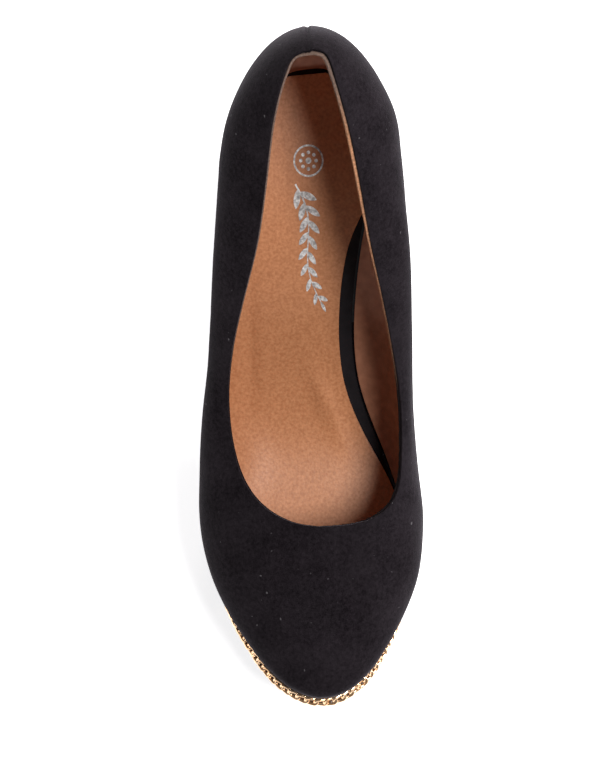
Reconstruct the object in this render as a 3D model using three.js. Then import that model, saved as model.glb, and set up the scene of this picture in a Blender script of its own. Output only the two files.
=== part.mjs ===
// Platform stiletto pump, right shoe, one shoe.
// Millimetres, +X to the toe, +Y to the inner side of the foot, +Z up.
// The floor is at height 0 and the box of the shoe is centred on the origin in plan.
import * as THREE from 'three';

// Driving dimensions
const soleLength = 240;
const heelWidth = 62;
const ballWidth = 81;
const heelRise = 86;
const ballHeight = 27;
const toeLift = 9;
const toeSwing = 4;
const archFlare = 24;
const seatFlare = 6.7;
const sideHeight = 24;
const instepHeight = 41;
const backHeight = 57;
const toplineLength = 145;
const toplineStart = 10.5;
const toplineWidth = 61;
const wall = 1.8;
const clearance = 0.3;
const boardThickness = 2.2;
const boardMargin = 0.9;
const sockThickness = 1.2;
const sockMargin = 5.5;
const outsoleThickness = 2;
const platformProud = 2.8;
const platformInset = 3.8;
const rimDrop = 3.2;
const platformBlend = 8;
const chainWidth = 3.8;
const chainDepth = 1.6;
const linkRaise = 0.9;
const linkPitch = 3;
const heelTipLength = 11;
const heelTipWidth = 10.5;
const heelTipHeight = 6;
const heelTipPlace = 23;
const heelBreast = 46;
const breastGap = 0.9;
const seatMargin = 1;
const outsoleBevel = 0.5;

// Places along the sole, as shares of its length
const platformStartShare = 0.4;
const outsoleBlendShare = 0.06;
const chainStartShare = 0.5;
const toeSpringShare = 0.77;

// Steps of the faceted surfaces
const bottomSteps = 240;
const sideSteps = 40;
const platformSteps = 36;
const shankSteps = 10;
const lowerSteps = 5;
const upperSteps = 8;
const heelSteps = 12;
const chainSteps = 160;
const stepsPerLink = 3;

// Slope of the last's bottom in degrees, at shares of the sole length
const slopes = [
  { at: 0.00, slope: 19 },
  { at: 0.10, slope: 20 },
  { at: 0.20, slope: 27 },
  { at: 0.30, slope: 38 },
  { at: 0.40, slope: 45 },
  { at: 0.50, slope: 43 },
  { at: 0.58, slope: 32 },
  { at: 0.65, slope: 14 },
  { at: 0.72, slope: 2 },
  { at: 0.78, slope: -1 },
  { at: 0.88, slope: -5 },
  { at: 1.00, slope: -7 },
];

// Feather line: half widths outer and inner as shares of the local half width,
// and swing as a share of the toe's swing
const feather = [
  { at: 0.000, outer: 0.000, inner: 0.000, swing: 0.00 },
  { at: 0.030, outer: 0.405, inner: 0.400, swing: 0.00 },
  { at: 0.070, outer: 0.610, inner: 0.605, swing: 0.00 },
  { at: 0.120, outer: 0.760, inner: 0.755, swing: 0.00 },
  { at: 0.180, outer: 0.830, inner: 0.725, swing: 0.00 },
  { at: 0.240, outer: 0.845, inner: 0.610, swing: 0.00 },
  { at: 0.300, outer: 0.830, inner: 0.525, swing: 0.00 },
  { at: 0.370, outer: 0.785, inner: 0.455, swing: 0.00 },
  { at: 0.440, outer: 0.750, inner: 0.420, swing: 0.00 },
  { at: 0.500, outer: 0.745, inner: 0.435, swing: 0.00 },
  { at: 0.560, outer: 0.785, inner: 0.515, swing: 0.00 },
  { at: 0.620, outer: 0.830, inner: 0.650, swing: 0.00 },
  { at: 0.680, outer: 0.865, inner: 0.770, swing: 0.05 },
  { at: 0.740, outer: 0.885, inner: 0.850, swing: 0.15 },
  { at: 0.800, outer: 0.840, inner: 0.835, swing: 0.30 },
  { at: 0.860, outer: 0.735, inner: 0.730, swing: 0.50 },
  { at: 0.920, outer: 0.560, inner: 0.560, swing: 0.70 },
  { at: 0.965, outer: 0.380, inner: 0.385, swing: 0.85 },
  { at: 1.000, outer: 0.000, inner: 0.000, swing: 1.00 },
];

// Lower wall: how far it stands out from the feather line, as shares of the
// flares, and the height of its widest line as a share of the side height
const flares = [
  { at: 0.00, outer: 1.00, inner: 0.00, wide: 0.92 },
  { at: 0.12, outer: 0.96, inner: 0.04, wide: 0.96 },
  { at: 0.18, outer: 0.94, inner: 0.18, wide: 1.00 },
  { at: 0.24, outer: 1.00, inner: 0.42, wide: 1.00 },
  { at: 0.30, outer: 1.08, inner: 0.62, wide: 1.00 },
  { at: 0.37, outer: 1.16, inner: 0.74, wide: 1.00 },
  { at: 0.44, outer: 1.20, inner: 0.78, wide: 0.97 },
  { at: 0.50, outer: 1.14, inner: 0.72, wide: 0.92 },
  { at: 0.56, outer: 1.04, inner: 0.53, wide: 0.84 },
  { at: 0.62, outer: 0.94, inner: 0.30, wide: 0.75 },
  { at: 0.68, outer: 0.82, inner: 0.13, wide: 0.65 },
  { at: 0.74, outer: 0.72, inner: 0.04, wide: 0.55 },
  { at: 0.82, outer: 0.60, inner: 0.00, wide: 0.45 },
  { at: 0.90, outer: 0.45, inner: 0.00, wide: 0.38 },
  { at: 1.00, outer: 0.30, inner: 0.00, wide: 0.33 },
];

// Topline, outer side: from the feather's station to a place along and across
// the topline, both as shares of its size
const outerTopline = [
  { at: 0.00, along: 0.000, across: 0.010 },
  { at: 0.01, along: 0.004, across: -0.068 },
  { at: 0.03, along: 0.018, across: -0.118 },
  { at: 0.06, along: 0.050, across: -0.152 },
  { at: 0.10, along: 0.100, across: -0.190 },
  { at: 0.15, along: 0.166, across: -0.225 },
  { at: 0.20, along: 0.242, across: -0.248 },
  { at: 0.30, along: 0.380, across: -0.300 },
  { at: 0.40, along: 0.496, across: -0.382 },
  { at: 0.50, along: 0.606, across: -0.452 },
  { at: 0.58, along: 0.695, across: -0.474 },
  { at: 0.64, along: 0.765, across: -0.462 },
  { at: 0.70, along: 0.832, across: -0.430 },
  { at: 0.76, along: 0.890, across: -0.378 },
  { at: 0.83, along: 0.942, across: -0.290 },
  { at: 0.90, along: 0.976, across: -0.180 },
  { at: 0.96, along: 0.995, across: -0.060 },
  { at: 1.00, along: 1.000, across: 0.040 },
];

// Topline, inner side
const innerTopline = [
  { at: 0.00, along: 0.000, across: 0.010 },
  { at: 0.01, along: 0.004, across: 0.060 },
  { at: 0.03, along: 0.018, across: 0.092 },
  { at: 0.06, along: 0.050, across: 0.118 },
  { at: 0.10, along: 0.100, across: 0.155 },
  { at: 0.15, along: 0.166, across: 0.202 },
  { at: 0.20, along: 0.242, across: 0.246 },
  { at: 0.30, along: 0.380, across: 0.325 },
  { at: 0.40, along: 0.496, across: 0.407 },
  { at: 0.50, along: 0.606, across: 0.472 },
  { at: 0.58, along: 0.695, across: 0.515 },
  { at: 0.64, along: 0.765, across: 0.526 },
  { at: 0.70, along: 0.832, across: 0.522 },
  { at: 0.76, along: 0.895, across: 0.500 },
  { at: 0.83, along: 0.948, across: 0.430 },
  { at: 0.90, along: 0.979, across: 0.320 },
  { at: 0.96, along: 0.996, across: 0.165 },
  { at: 1.00, along: 1.000, across: 0.040 },
];

// Height of the topline above the last's bottom: back and front shares of the
// back height and the instep height, at shares of the topline's length
const toplineRise = [
  { at: 0.00, back: 1.00, front: 0.00 },
  { at: 0.05, back: 0.985, front: 0.00 },
  { at: 0.15, back: 0.925, front: 0.00 },
  { at: 0.25, back: 0.860, front: 0.01 },
  { at: 0.38, back: 0.760, front: 0.04 },
  { at: 0.50, back: 0.610, front: 0.15 },
  { at: 0.61, back: 0.430, front: 0.33 },
  { at: 0.70, back: 0.270, front: 0.50 },
  { at: 0.80, back: 0.110, front: 0.71 },
  { at: 0.90, back: 0.020, front: 0.88 },
  { at: 1.00, back: 0.00, front: 1.00 },
];

// Upper wall: turn of the section in degrees and straight share of its rise
const sections = [
  { at: 0.00, turn: 52, lean: 0.00 },
  { at: 0.20, turn: 50, lean: 0.00 },
  { at: 0.45, turn: 52, lean: 0.00 },
  { at: 0.60, turn: 62, lean: 0.05 },
  { at: 0.75, turn: 78, lean: 0.28 },
  { at: 0.88, turn: 88, lean: 0.52 },
  { at: 1.00, turn: 90, lean: 0.58 },
];

// Thickness of the platform under the feather, as shares of the ball height
const platformDepth = [
  { at: 0.40, depth: 0.03 },
  { at: 0.43, depth: 0.11 },
  { at: 0.46, depth: 0.26 },
  { at: 0.50, depth: 0.54 },
  { at: 0.54, depth: 0.84 },
  { at: 0.58, depth: 1.09 },
  { at: 0.62, depth: 1.27 },
  { at: 0.68, depth: 1.40 },
];

// Rim of the platform: its top edge and its widest line beyond the feather line,
// as shares of how proud it stands, and the drop between the two
const platformRim = [
  { at: 0.40, top: 0.00, wide: 0.00, drop: 0.08 },
  { at: 0.43, top: 0.22, wide: 0.24, drop: 0.30 },
  { at: 0.50, top: 0.66, wide: 0.78, drop: 1.00 },
  { at: 0.60, top: 0.58, wide: 0.94, drop: 1.00 },
  { at: 0.70, top: 0.40, wide: 1.00, drop: 1.00 },
  { at: 0.80, top: 0.30, wide: 1.00, drop: 1.00 },
  { at: 1.00, top: 0.28, wide: 1.00, drop: 1.00 },
];

// Section of the chain from its flat back: shares of its depth and of its width
// from the top, and the turn at which a link rises there, in shares of the pitch
const chainProfile = [
  { depth: 0.0, across: 1.00, link: null },
  { depth: 0.0, across: 0.00, link: null },
  { depth: 0.8, across: 0.00, link: null },
  { depth: 1.0, across: 0.24, link: 0.0 },
  { depth: 1.0, across: 0.50, link: null },
  { depth: 1.0, across: 0.76, link: 0.5 },
  { depth: 0.8, across: 1.00, link: null },
];

// Edge of the sock, as shares of its margin inside the feather line
const sockEdge = [
  { at: 0.00, outer: 0.45, inner: 0.45 },
  { at: 0.06, outer: 0.08, inner: 0.08 },
  { at: 0.20, outer: -0.08, inner: 0.15 },
  { at: 0.28, outer: -0.08, inner: 0.85 },
  { at: 0.36, outer: -0.08, inner: 1.00 },
  { at: 0.50, outer: -0.08, inner: 1.00 },
  { at: 0.60, outer: -0.08, inner: 0.80 },
  { at: 0.68, outer: -0.08, inner: 0.25 },
  { at: 0.80, outer: 0.05, inner: 0.08 },
  { at: 1.00, outer: 0.25, inner: 0.25 },
];

// Heel from its seat down to its tip: share of the drop, and how far the back
// edge, the front edge and the half width have gone from the seat's to the tip's
const heelSections = [
  { drop: 0.00, back: 0.00, front: 0.00, width: 0.00 },
  { drop: 0.05, back: 0.08, front: 0.09, width: 0.07 },
  { drop: 0.12, back: 0.22, front: 0.30, width: 0.24 },
  { drop: 0.22, back: 0.42, front: 0.62, width: 0.48 },
  { drop: 0.35, back: 0.63, front: 0.88, width: 0.71 },
  { drop: 0.50, back: 0.79, front: 1.02, width: 0.86 },
  { drop: 0.70, back: 0.91, front: 1.07, width: 0.96 },
  { drop: 0.88, back: 0.98, front: 1.04, width: 1.00 },
  { drop: 1.00, back: 1.00, front: 1.00, width: 1.00 },
];

// Smooth monotone curve through one column of a table
function column(table, key, at) {
  const last = table.length - 1;
  const place = Math.min(Math.max(at, table[0].at), table[last].at);
  let row = 0;
  while (row < last - 1 && place > table[row + 1].at) row += 1;
  const run = (i) => table[i + 1].at - table[i].at;
  const grade = (i) => (table[i + 1][key] - table[i][key]) / run(i);
  const tangent = (i) => {
    if (i === 0) return grade(0);
    if (i === last) return grade(last - 1);
    if (grade(i - 1) * grade(i) <= 0) return 0;
    const before = 2 * run(i) + run(i - 1);
    const after = run(i) + 2 * run(i - 1);
    return (before + after) / (before / grade(i - 1) + after / grade(i));
  };
  const t = (place - table[row].at) / run(row);
  const rest = 1 - t;
  return (1 + 2 * t) * rest * rest * table[row][key]
    + t * rest * rest * run(row) * tangent(row)
    + t * t * (3 - 2 * t) * table[row + 1][key]
    - t * t * rest * run(row) * tangent(row + 1);
}

const mix = THREE.MathUtils.lerp;
const ease = THREE.MathUtils.smoothstep;
const radians = THREE.MathUtils.degToRad;

// Bottom line of the last from heel to toe, with its slopes scaled to the rise
function bottomLine(scale) {
  const step = soleLength / bottomSteps;
  const line = [{ at: 0, x: 0, z: 0 }];
  for (let i = 0; i < bottomSteps; i += 1) {
    const slope = column(slopes, 'slope', (i + 0.5) / bottomSteps);
    const angle = radians(slope > 0 ? slope * scale : slope);
    const x = line[i].x + step * Math.cos(angle);
    const z = line[i].z - step * Math.sin(angle);
    line.push({ at: (i + 1) / bottomSteps, x, z });
  }
  return line;
}

function lowest(line) {
  return Math.min(...line.map((point) => point.z));
}

// The scale of the slopes is found by halving, so that the line drops by the heel rise
function fittedLine() {
  let low = 0.3;
  let high = 1.8;
  for (let i = 0; i < 30; i += 1) {
    const middle = (low + high) / 2;
    if (-lowest(bottomLine(middle)) < heelRise) low = middle;
    else high = middle;
  }
  const line = bottomLine((low + high) / 2);
  const drop = lowest(line);
  return line.map((point) => ({ at: point.at, x: point.x, z: point.z - drop + ballHeight }));
}

const lastLine = fittedLine();

// Straight reading of the bottom line, from one of its values to another
function readLine(from, value, wanted) {
  const last = lastLine.length - 1;
  let row = 0;
  while (row < last - 1 && value > lastLine[row + 1][from]) row += 1;
  const t = (value - lastLine[row][from]) / (lastLine[row + 1][from] - lastLine[row][from]);
  return mix(lastLine[row][wanted], lastLine[row + 1][wanted], t);
}

function bottomX(s) {
  return readLine('at', s, 'x');
}

function bottomZ(s) {
  return readLine('at', s, 'z');
}

function stationAt(x) {
  return readLine('x', x, 'at');
}

// Half width of the feather line, round at both ends
function halfWidth(s, side) {
  const key = side < 0 ? 'outer' : 'inner';
  const squares = feather.map((row) => ({ at: row.at, square: row[key] * row[key] }));
  const local = mix(heelWidth, ballWidth, ease(s, 0.2, 0.6)) / 2;
  return local * Math.sqrt(Math.max(column(squares, 'square', s), 0));
}

function centre(s) {
  return toeSwing * column(feather, 'swing', s);
}

// Whole numbers from nought to a last one
function countTo(last) {
  return Array.from({ length: last + 1 }, (none, i) => i);
}

// Stations along one side, close together at both round ends
function wholeStations() {
  return countTo(sideSteps).map((i) => (1 - Math.cos((Math.PI * i) / sideSteps)) / 2);
}

// Stations along one side, from a first share to the toe, closer at the toe
function frontStations(first, steps) {
  return countTo(steps).map((i) => mix(first, 1, Math.sin((Math.PI / 2) * (i / steps))));
}

function outlinePoint(s, side) {
  return { s, side, x: bottomX(s), y: centre(s) + side * halfWidth(s, side) };
}

// Each point with its outward direction in plan, on a line that turns left
function withOutward(points, closed) {
  const last = points.length - 1;
  return points.map((point, i) => {
    const before = i === 0 ? points[closed ? last : 0] : points[i - 1];
    const after = i === last ? points[closed ? 0 : last] : points[i + 1];
    const length = Math.hypot(after.x - before.x, after.y - before.y);
    return { ...point, nx: (after.y - before.y) / length, ny: (before.x - after.x) / length };
  });
}

// Outline along the outer side to the toe and back along the inner side
function outlinePoints(stations, closedAtBack) {
  const outer = stations.map((s) => outlinePoint(s, -1));
  const inner = stations.map((s) => outlinePoint(s, 1)).reverse().slice(1);
  if (closedAtBack) inner.pop();
  return withOutward([...outer, ...inner], closedAtBack);
}

// The wall of the upper leans straight out along the sides, and all ways at the ends
function wallDirection(point) {
  const side = ease(point.s, 0.03, 0.2) * (1 - ease(point.s, 0.66, 0.88));
  const nx = point.nx * (1 - side);
  const length = Math.hypot(nx, point.ny);
  return { ...point, nx: nx / length, ny: point.ny / length };
}

function offsetPoint(point, distance) {
  return { x: point.x + point.nx * distance, y: point.y + point.ny * distance };
}

const featherLine = outlinePoints(wholeStations(), true);
const platformStations = frontStations(platformStartShare, platformSteps);

// Cap of strips from one side of a ring to the other, for a ring that starts
// with one point at the back, or with two
function stripCap(count) {
  const far = (i) => (count % 2 === 0 ? count : count - 1) - i;
  const toe = Math.floor(count / 2);
  const triangles = [];
  for (let i = 0; i < toe; i += 1) {
    if (far(i) < count && far(i) !== i) triangles.push([i, far(i + 1), far(i)]);
    if (i + 1 < toe) triangles.push([i, i + 1, far(i + 1)]);
    else triangles[triangles.length - 1] = [i, toe, far(i)];
  }
  return triangles;
}

// Cap that fans out from a ring's first point
function fanCap(count) {
  const triangles = [];
  for (let i = 1; i < count - 1; i += 1) triangles.push([0, i, i + 1]);
  return triangles;
}

// Volume with its sign, to turn a body's faces outwards
function signedVolume(positions, index) {
  const corner = (i) => new THREE.Vector3().fromArray(positions, 3 * i);
  let sum = 0;
  for (let i = 0; i < index.length; i += 3) {
    sum += corner(index[i]).dot(corner(index[i + 1]).cross(corner(index[i + 2]))) / 6;
  }
  return sum;
}

// Closed body through rings of equal length, with a cap at each end or none
// where the last ring joins the first
function bodyThrough(rings, cap) {
  const count = rings[0].length;
  const positions = rings.flat().flatMap((point) => [point.x, point.y, point.z]);
  const index = [];
  const bands = cap ? rings.length - 1 : rings.length;
  for (let band = 0; band < bands; band += 1) {
    const low = band * count;
    const high = ((band + 1) % rings.length) * count;
    for (let i = 0; i < count; i += 1) {
      const next = (i + 1) % count;
      index.push(low + i, low + next, high + next, low + i, high + next, high + i);
    }
  }
  if (cap) {
    const top = (rings.length - 1) * count;
    for (const [a, b, c] of cap(count)) {
      index.push(a, c, b);
      index.push(top + a, top + b, top + c);
    }
  }
  if (signedVolume(positions, index) < 0) index.reverse();
  const geometry = new THREE.BufferGeometry();
  geometry.setAttribute('position', new THREE.Float32BufferAttribute(positions, 3));
  geometry.setIndex(index);
  geometry.computeVertexNormals();
  return geometry;
}

function mesh(name, geometry, color, roughness, metalness = 0) {
  const material = new THREE.MeshStandardMaterial({ color, roughness, metalness });
  const made = new THREE.Mesh(geometry, material);
  made.name = name;
  return made;
}

// How far the widest line stands out from the feather line
function flareAt(point) {
  const outer = seatFlare * column(flares, 'outer', point.s);
  if (point.side < 0) return outer;
  return mix(outer, archFlare, column(flares, 'inner', point.s));
}

// Topline point of the rib that starts at a feather point
function toplinePoint(point) {
  const table = point.side < 0 ? outerTopline : innerTopline;
  const share = column(table, 'along', point.s);
  const x = toplineStart + toplineLength * share;
  const y = toplineWidth * column(table, 'across', point.s);
  const backRise = backHeight * column(toplineRise, 'back', share);
  const frontRise = instepHeight * column(toplineRise, 'front', share);
  return new THREE.Vector3(x, y, bottomZ(stationAt(x)) + backRise + frontRise);
}

// One rib of the upper, from the feather line over the widest line to the topline
function rib(point) {
  const base = bottomZ(point.s) + clearance;
  const flare = flareAt(point);
  const wide = sideHeight * column(flares, 'wide', point.s);
  const wallPoint = wallDirection(point);
  const points = [];
  for (let k = 0; k < lowerSteps; k += 1) {
    const angle = (Math.PI / 2) * (k / lowerSteps);
    const place = offsetPoint(wallPoint, flare * Math.sin(angle));
    points.push(new THREE.Vector3(place.x, place.y, base + wide * (1 - Math.cos(angle))));
  }
  const widest = offsetPoint(wallPoint, flare);
  const start = new THREE.Vector3(widest.x, widest.y, base + wide);
  const end = toplinePoint(point);
  const turn = radians(column(sections, 'turn', point.s));
  const lean = column(sections, 'lean', point.s);
  for (let k = 0; k <= upperSteps; k += 1) {
    const angle = turn * (k / upperSteps);
    const inward = (1 - Math.cos(angle)) / (1 - Math.cos(turn));
    const rise = lean * inward + (1 - lean) * (Math.sin(angle) / Math.sin(turn));
    points.push(new THREE.Vector3(
      mix(start.x, end.x, inward),
      mix(start.y, end.y, inward),
      mix(start.z, end.z, rise),
    ));
  }
  return points;
}

// Outward normal of a grid of ribs at one point
function ribNormal(ribs, i, k) {
  const count = ribs.length;
  const last = ribs[0].length - 1;
  const around = ribs[(i + 1) % count][k].clone().sub(ribs[(i + count - 1) % count][k]);
  const up = ribs[i][Math.min(k + 1, last)].clone().sub(ribs[i][Math.max(k - 1, 0)]);
  return around.cross(up).normalize();
}

// The upper is one wall, open at the topline and inside the feather line
function upperGeometry() {
  const ribs = featherLine.map(rib);
  const down = new THREE.Vector3(0, 0, -1);
  const lining = ribs.map((points, i) => points.map((point, k) => {
    const normal = k === 0 ? down : ribNormal(ribs, i, k);
    return point.clone().addScaledVector(normal, -wall);
  }));
  const last = ribs[0].length - 1;
  const rings = [];
  for (let k = 0; k <= last; k += 1) rings.push(ribs.map((points) => points[k]));
  for (let k = last; k >= 0; k -= 1) rings.push(lining.map((points) => points[k]));
  return bodyThrough(rings, null);
}

// Points of one level, with its edge from the outline and its height over a station
function levelPoints(points, { edge, height }) {
  return points.map((point) => {
    const place = offsetPoint(point, edge(point));
    return new THREE.Vector3(place.x, place.y, height(stationAt(place.x)));
  });
}

// Body through levels, the lowest first
function plate(points, ...levels) {
  return bodyThrough(levels.map((level) => levelPoints(points, level)), stripCap);
}

function boardGeometry() {
  const edge = () => -boardMargin;
  const low = { edge, height: (s) => bottomZ(s) + clearance };
  const high = { edge, height: (s) => bottomZ(s) + clearance + boardThickness };
  return plate(featherLine, low, high);
}

function sockGeometry() {
  const bottom = 2 * clearance + boardThickness;
  const edge = (point) => -sockMargin * column(sockEdge, point.side < 0 ? 'outer' : 'inner', point.s);
  const low = { edge, height: (s) => bottomZ(s) + bottom };
  const high = { edge, height: (s) => bottomZ(s) + bottom + sockThickness };
  return plate(featherLine, low, high);
}

// Underside of the outsole at the front: flat, then lifted at the toe
function floorLine(s) {
  const share = Math.max(s - toeSpringShare, 0) / (1 - toeSpringShare);
  return toeLift * share * share;
}

// Underside of the platform: hung from the feather line, blended into the floor line
function platformUnder(s) {
  const hung = bottomZ(s) - ballHeight * column(platformDepth, 'depth', s);
  const floor = floorLine(s) + outsoleThickness + clearance;
  const near = Math.max(platformBlend - Math.abs(hung - floor), 0);
  return Math.max(hung, floor) + (near * near) / (4 * platformBlend);
}

// The platform's rim slopes out from its top edge to its widest line, and the chain lies on it
const rimTop = {
  edge: (point) => platformProud * column(platformRim, 'top', point.s),
  height: bottomZ,
};
const rimWide = {
  edge: (point) => platformProud * column(platformRim, 'wide', point.s),
  height: (s) => bottomZ(s) - rimDrop * column(platformRim, 'drop', s),
};

function platformFoot(s) {
  const depth = Math.min(column(platformDepth, 'depth', s), 1);
  return platformProud * column(platformRim, 'wide', s) - platformInset * depth;
}

function platformGeometry() {
  const points = outlinePoints(platformStations, false);
  const foot = { edge: (point) => platformFoot(point.s), height: platformUnder };
  return plate(points, foot, rimWide, rimTop);
}

// Top of the outsole: under the platform, and under the board behind it
function outsoleTop(s) {
  if (s >= platformStartShare) return platformUnder(s) - clearance;
  const step = bottomZ(platformStartShare) - platformUnder(platformStartShare) + clearance;
  return bottomZ(s) - step * ease(s, platformStartShare - outsoleBlendShare, platformStartShare);
}

function outsoleEdge(s) {
  if (s >= platformStartShare) return platformFoot(s);
  const blend = ease(s, platformStartShare - outsoleBlendShare, platformStartShare);
  return mix(seatMargin, platformFoot(platformStartShare), blend);
}

function outsoleGeometry() {
  const breast = stationAt(heelBreast + breastGap);
  const shank = countTo(shankSteps - 1).map((i) => mix(breast, platformStartShare, i / shankSteps));
  const points = outlinePoints([...shank, ...platformStations], false);
  const top = { edge: (point) => outsoleEdge(point.s), height: outsoleTop };
  const foot = {
    edge: (point) => outsoleEdge(point.s) - outsoleBevel,
    height: (s) => outsoleTop(s) - outsoleThickness,
  };
  return plate(points, foot, top);
}

// Seat of the heel, from the breast round the back to the breast
function seatPoints() {
  const breast = stationAt(heelBreast);
  const stations = countTo(heelSteps).map((i) => breast * (1 - Math.sin((Math.PI / 2) * (i / heelSteps))));
  const inner = stations.map((s) => outlinePoint(s, 1));
  const outer = stations.slice(0, -1).reverse().map((s) => outlinePoint(s, -1));
  return withOutward([...inner, ...outer], false).map((point) => {
    const place = offsetPoint(point, seatMargin);
    const x = Math.min(place.x, heelBreast);
    return { x, y: place.y, z: bottomZ(stationAt(x)) };
  });
}

// One ring of the heel: the seat's outline drawn in to the tip's
function heelRing(row) {
  const seat = seatPoints();
  const seatHalf = Math.max(...seat.map((point) => point.y));
  const tipBack = heelTipPlace - heelTipLength / 2;
  const tipFront = heelTipPlace + heelTipLength / 2;
  const seatBack = Math.min(...seat.map((point) => point.x));
  const back = mix(seatBack, tipBack, row.back);
  const front = mix(heelBreast, tipFront, row.front);
  const half = mix(seatHalf, heelTipWidth / 2, row.width);
  const foot = heelTipHeight + clearance;
  return seat.map((point) => new THREE.Vector3(
    mix(back, front, (point.x - seatBack) / (heelBreast - seatBack)),
    (point.y * half) / seatHalf,
    mix(point.z, foot, row.drop),
  ));
}

function heelGeometry() {
  return bodyThrough(heelSections.map(heelRing).reverse(), stripCap);
}

// The top piece has the outline of the heel's foot
function tipGeometry() {
  const foot = heelRing(heelSections[heelSections.length - 1]);
  const level = (height) => foot.map((point) => new THREE.Vector3(point.x, point.y, height));
  return bodyThrough([level(0), level(heelTipHeight)], stripCap);
}

// Places down the rim from its top edge, with the ways down and out of its slope
function rimPlaces() {
  const points = outlinePoints(frontStations(chainStartShare, chainSteps), false);
  const wide = levelPoints(points, rimWide);
  return levelPoints(points, rimTop).map((top, i) => {
    const down = wide[i].clone().sub(top).normalize();
    const across = points[i].nx * down.x + points[i].ny * down.y;
    const out = new THREE.Vector3(-points[i].nx * down.z, -points[i].ny * down.z, across).normalize();
    return { top, down, out };
  });
}

// Those places at even steps along the rim, for the chain
function chainPath() {
  const line = rimPlaces();
  const lengths = [0];
  for (let i = 1; i < line.length; i += 1) {
    lengths.push(lengths[i - 1] + line[i].top.distanceTo(line[i - 1].top));
  }
  const total = lengths[lengths.length - 1];
  const count = Math.round(total / linkPitch) * stepsPerLink;
  let row = 0;
  return countTo(count).map((i) => {
    const reach = (total * i) / count;
    while (row < line.length - 2 && reach > lengths[row + 1]) row += 1;
    const t = Math.min((reach - lengths[row]) / (lengths[row + 1] - lengths[row]), 1);
    const between = (key) => line[row][key].clone().lerp(line[row + 1][key], t);
    return { top: between('top'), down: between('down'), out: between('out'), phase: i / stepsPerLink };
  });
}

// One section of the chain, its links raised in turn
function chainSection(place) {
  return chainProfile.map(({ depth, across, link }) => {
    const wave = link === null ? 0 : (1 + Math.cos(2 * Math.PI * (place.phase + link))) / 2;
    const out = clearance + chainDepth * depth + linkRaise * wave;
    const back = place.top.clone().addScaledVector(place.down, chainWidth * across);
    return back.addScaledVector(place.out, out);
  });
}

function chainGeometry() {
  return bodyThrough(chainPath().map(chainSection), fanCap);
}

const group = new THREE.Group();
group.add(mesh('upper', upperGeometry(), 0x211c21, 0.95));
group.add(mesh('insole_board', boardGeometry(), 0x1b181a, 0.8));
group.add(mesh('sock', sockGeometry(), 0xb87d55, 0.55));
group.add(mesh('platform', platformGeometry(), 0x211c21, 0.95));
group.add(mesh('chain', chainGeometry(), 0xc8965a, 0.35, 0.9));
group.add(mesh('outsole', outsoleGeometry(), 0x17161a, 0.6));
group.add(mesh('heel', heelGeometry(), 0x211c21, 0.95));
group.add(mesh('heel_tip', tipGeometry(), 0x101012, 0.5));

// The finished shoe is centred on its box in plan
const box = new THREE.Box3().setFromObject(group);
group.position.set(-(box.min.x + box.max.x) / 2, -(box.min.y + box.max.y) / 2, 0);

export default group;
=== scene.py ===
import math

import bmesh
import bpy
from mathutils import Matrix, Vector, noise
from mathutils.bvhtree import BVHTree
from mathutils.kdtree import KDTree


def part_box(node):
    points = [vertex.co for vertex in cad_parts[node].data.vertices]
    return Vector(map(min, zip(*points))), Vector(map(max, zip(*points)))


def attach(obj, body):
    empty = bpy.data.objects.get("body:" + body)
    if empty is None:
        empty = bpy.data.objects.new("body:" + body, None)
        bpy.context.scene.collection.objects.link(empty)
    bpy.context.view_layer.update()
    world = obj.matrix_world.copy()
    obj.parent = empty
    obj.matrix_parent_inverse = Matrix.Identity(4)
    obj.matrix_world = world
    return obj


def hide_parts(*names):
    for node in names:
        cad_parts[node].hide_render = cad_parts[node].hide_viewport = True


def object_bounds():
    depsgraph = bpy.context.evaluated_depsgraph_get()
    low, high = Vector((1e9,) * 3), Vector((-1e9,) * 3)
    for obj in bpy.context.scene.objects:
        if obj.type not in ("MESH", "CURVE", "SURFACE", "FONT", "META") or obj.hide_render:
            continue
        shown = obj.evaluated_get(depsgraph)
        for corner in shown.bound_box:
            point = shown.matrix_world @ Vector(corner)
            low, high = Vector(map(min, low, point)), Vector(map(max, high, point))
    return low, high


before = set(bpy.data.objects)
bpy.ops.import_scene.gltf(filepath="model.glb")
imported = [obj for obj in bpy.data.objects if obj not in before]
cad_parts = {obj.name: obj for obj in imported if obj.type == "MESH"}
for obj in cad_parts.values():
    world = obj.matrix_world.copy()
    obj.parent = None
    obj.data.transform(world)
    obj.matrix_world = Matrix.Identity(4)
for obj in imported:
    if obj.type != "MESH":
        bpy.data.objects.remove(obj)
cadLow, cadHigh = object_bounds()
mm = 0.001
print("frame loaded")


# Camera
cameraValues = {
    "place": (0.2341, -0.00395, 1.280),
    "aim": (0.00088, -0.00395, 0.080),
    "up": (-1.0, 0.0, 0.0),      # the toe points down in the picture
    "lens": 163.9,
    "sensor": 36.0,
    "clip": (0.05, 20.0),
}


def turnTo(place, aim, up):
    back = (Vector(place) - Vector(aim)).normalized()
    right = Vector(up).cross(back).normalized()
    top = back.cross(right)
    turned = Matrix((right, top, back)).transposed().to_4x4()
    return Matrix.Translation(place) @ turned


def makeCamera(values):
    data = bpy.data.cameras.new("camera")
    data.lens = values["lens"]
    data.sensor_width = values["sensor"]
    data.clip_start, data.clip_end = values["clip"]
    camera = bpy.data.objects.new("camera", data)
    camera.matrix_world = turnTo(values["place"], values["aim"], values["up"])
    bpy.context.scene.collection.objects.link(camera)
    bpy.context.scene.camera = camera


makeCamera(cameraValues)
print("camera placed")


# Materials
def newMaterial(name):
    material = bpy.data.materials.new(name)
    material.use_nodes = True
    nodes = material.node_tree.nodes
    shader = nodes["Principled BSDF"]
    place = nodes.new("ShaderNodeTexCoord")
    return material, nodes, material.node_tree.links, shader, place.outputs["Object"]


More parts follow.
